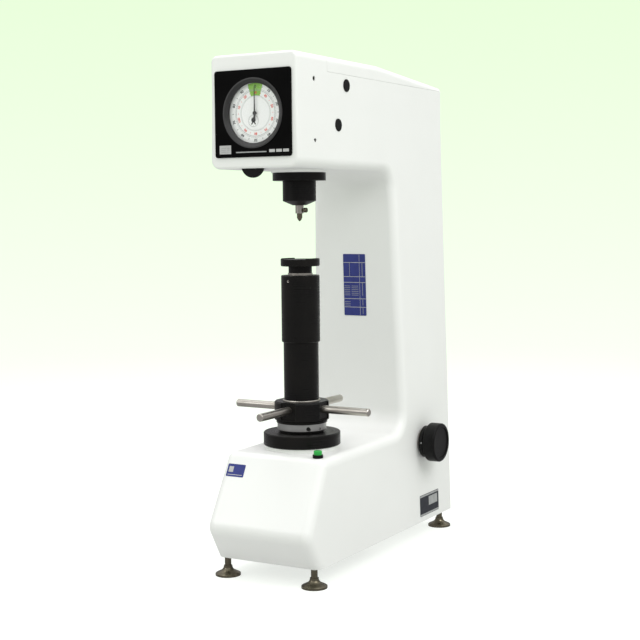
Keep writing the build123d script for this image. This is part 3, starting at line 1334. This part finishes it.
def motor():
    """Geared motor that lifts the lever off the spindle between tests."""
    body_end = bar_x(MOTOR_R, MOTOR_X0, MOTOR_X1 - MOTOR_PLATE, MOTOR_Y, MOTOR_Z)
    return chamfer(body_end.edges().filter_by(GeomType.CIRCLE), RING_CHAMFER)


def motor_bracket():
    """Shelf on the column's side wall with an upright plate for the motor."""
    z1 = MOTOR_Z - MOTOR_R
    z0 = z1 - MOTOR_SHELF
    y0 = MOTOR_Y - MOTOR_R
    y1 = MOTOR_Y + MOTOR_R
    shelf = block(-FAR, MOTOR_X1, y0, y1, z0, z1) & cavity
    shelf += block(MOTOR_X1 - MOTOR_PLATE, MOTOR_X1, y0, y1, z1, MOTOR_Z + MOTOR_R * 0.7)
    return shelf - bar_x(MOTOR_SHAFT_R + RUN, MOTOR_X1 - MOTOR_PLATE, MOTOR_X1, MOTOR_Y, MOTOR_Z)


def lift_cam():
    shaft = bar_x(MOTOR_SHAFT_R, MOTOR_X1 - MOTOR_PLATE + RUN, LIFT_CAM_HALF, MOTOR_Y, MOTOR_Z)
    disc = bar_x(LIFT_CAM_R, -LIFT_CAM_HALF, LIFT_CAM_HALF, MOTOR_Y, MOTOR_Z - LIFT_CAM_THROW)
    return shaft + disc


def lever_stop():
    """Fixed stop on the column's side wall, just under the lever."""
    under = LEVER_TAIL_UNDER_Z - STOP_GAP
    y0 = STOP_Y - STOP_HALF_Y
    y1 = STOP_Y + STOP_HALF_Y
    return block(0, FAR, y0, y1, under - STOP_HEIGHT, under) & cavity


def dashpot():
    """Oil cylinder that slows the lever, clamped to the column's front wall."""
    cup = bar_z(DASHPOT_R, DASHPOT_Z0, DASHPOT_Z1, 0, DASHPOT_Y)
    room_r = DASHPOT_R - DASHPOT_WALL
    cup -= bar_z(room_r, DASHPOT_Z0 + DASHPOT_WALL, DASHPOT_Z1 - DASHPOT_WALL, 0, DASHPOT_Y)
    cup -= bar_z(PISTON_ROD_R + FIT * 2, DASHPOT_Z1 - DASHPOT_WALL, DASHPOT_Z1, 0, DASHPOT_Y)
    z0 = (DASHPOT_Z0 + DASHPOT_Z1 - DASHPOT_CLAMP) / 2
    clamp = block(-room_r, room_r, 0, DASHPOT_Y, z0, z0 + DASHPOT_CLAMP) & cavity
    return cup + (clamp - bar_z(DASHPOT_R - FIT, 0, HEIGHT, 0, DASHPOT_Y))


def piston():
    """Dashpot piston, resting low in its cylinder, with a rod up to the lever."""
    z0 = DASHPOT_Z0 + DASHPOT_WALL + PISTON_THICK
    disc = bar_z(PISTON_R, z0, z0 + PISTON_THICK, 0, DASHPOT_Y)
    return disc + bar_z(PISTON_ROD_R, z0, LEVER_UNDER_Z - RUN, 0, DASHPOT_Y)


def transformer():
    half = TRANSFORMER / 2
    z0 = BASE_FLOOR_Z
    core = block(TRANSFORMER_X - half, TRANSFORMER_X + half, TRANSFORMER_Y - half * CORE_SHARE,
                 TRANSFORMER_Y + half * CORE_SHARE, z0, z0 + TRANSFORMER * CORE_SHARE)
    coil = block(TRANSFORMER_X - half * COIL_SHARE, TRANSFORMER_X + half * COIL_SHARE, TRANSFORMER_Y - half,
                 TRANSFORMER_Y + half, z0 + TRANSFORMER * COIL_FOOT_SHARE,
                 z0 + TRANSFORMER * COIL_TOP_SHARE)
    return core + coil


BOARD_Z = UNDER_Z + COVER_THICK + BOARD_POST


def control_board():
    """Circuit board with its relays and a capacitor."""
    board = block(-BOARD_HALF_X, BOARD_HALF_X, BOARD_Y0, BOARD_Y1, BOARD_Z, BOARD_Z + BOARD_THICK)
    top = BOARD_Z + BOARD_THICK
    chip_y = BOARD_Y1 - CHIP_INSET
    for i in range(CHIP_COUNT):
        x = (i - CHIP_COUNT / 2) * BOARD_HALF_X / CHIP_COUNT * 2
        board += block(x, x + CHIP_LENGTH / 2, chip_y - CHIP_LENGTH, chip_y, top, top + CHIP_HEIGHT)
    return board + bar_z(CHIP_LENGTH / 2, top, top + CHIP_LENGTH, 0, BOARD_Y0 + CHIP_LENGTH * 2)


def board_posts():
    posts = Part()
    for x in (-1, 1):
        for y in (BOARD_Y0 + BOARD_POST_R * 2, BOARD_Y1 - BOARD_POST_R * 2):
            posts += bar_z(BOARD_POST_R, UNDER_Z + COVER_THICK, BOARD_Z,
                           x * (BOARD_HALF_X - BOARD_POST_R * 2), y)
    return posts


keep("button_bezel", button_bezel() + button_switch())
keep("start_button", start_button())
keep("power_inlet", power_inlet() + rocker_frame())
keep("power_rocker", power_rocker())
keep("lift_motor", group(motor(), motor_bracket()))
keep("lift_cam", lift_cam())
keep("column_guides", cradle_guides() + lever_stop())
keep("dashpot_cylinder", dashpot())
keep("dashpot_piston", piston())
keep("control_gear", transformer() + control_board())
keep("bottom_plate", floor_recess(0) + board_posts())

for name, shape in NODES.items():
    export_step(Pos(0, SCREW_Y, 0) * shape, f"parts/{name}.step")
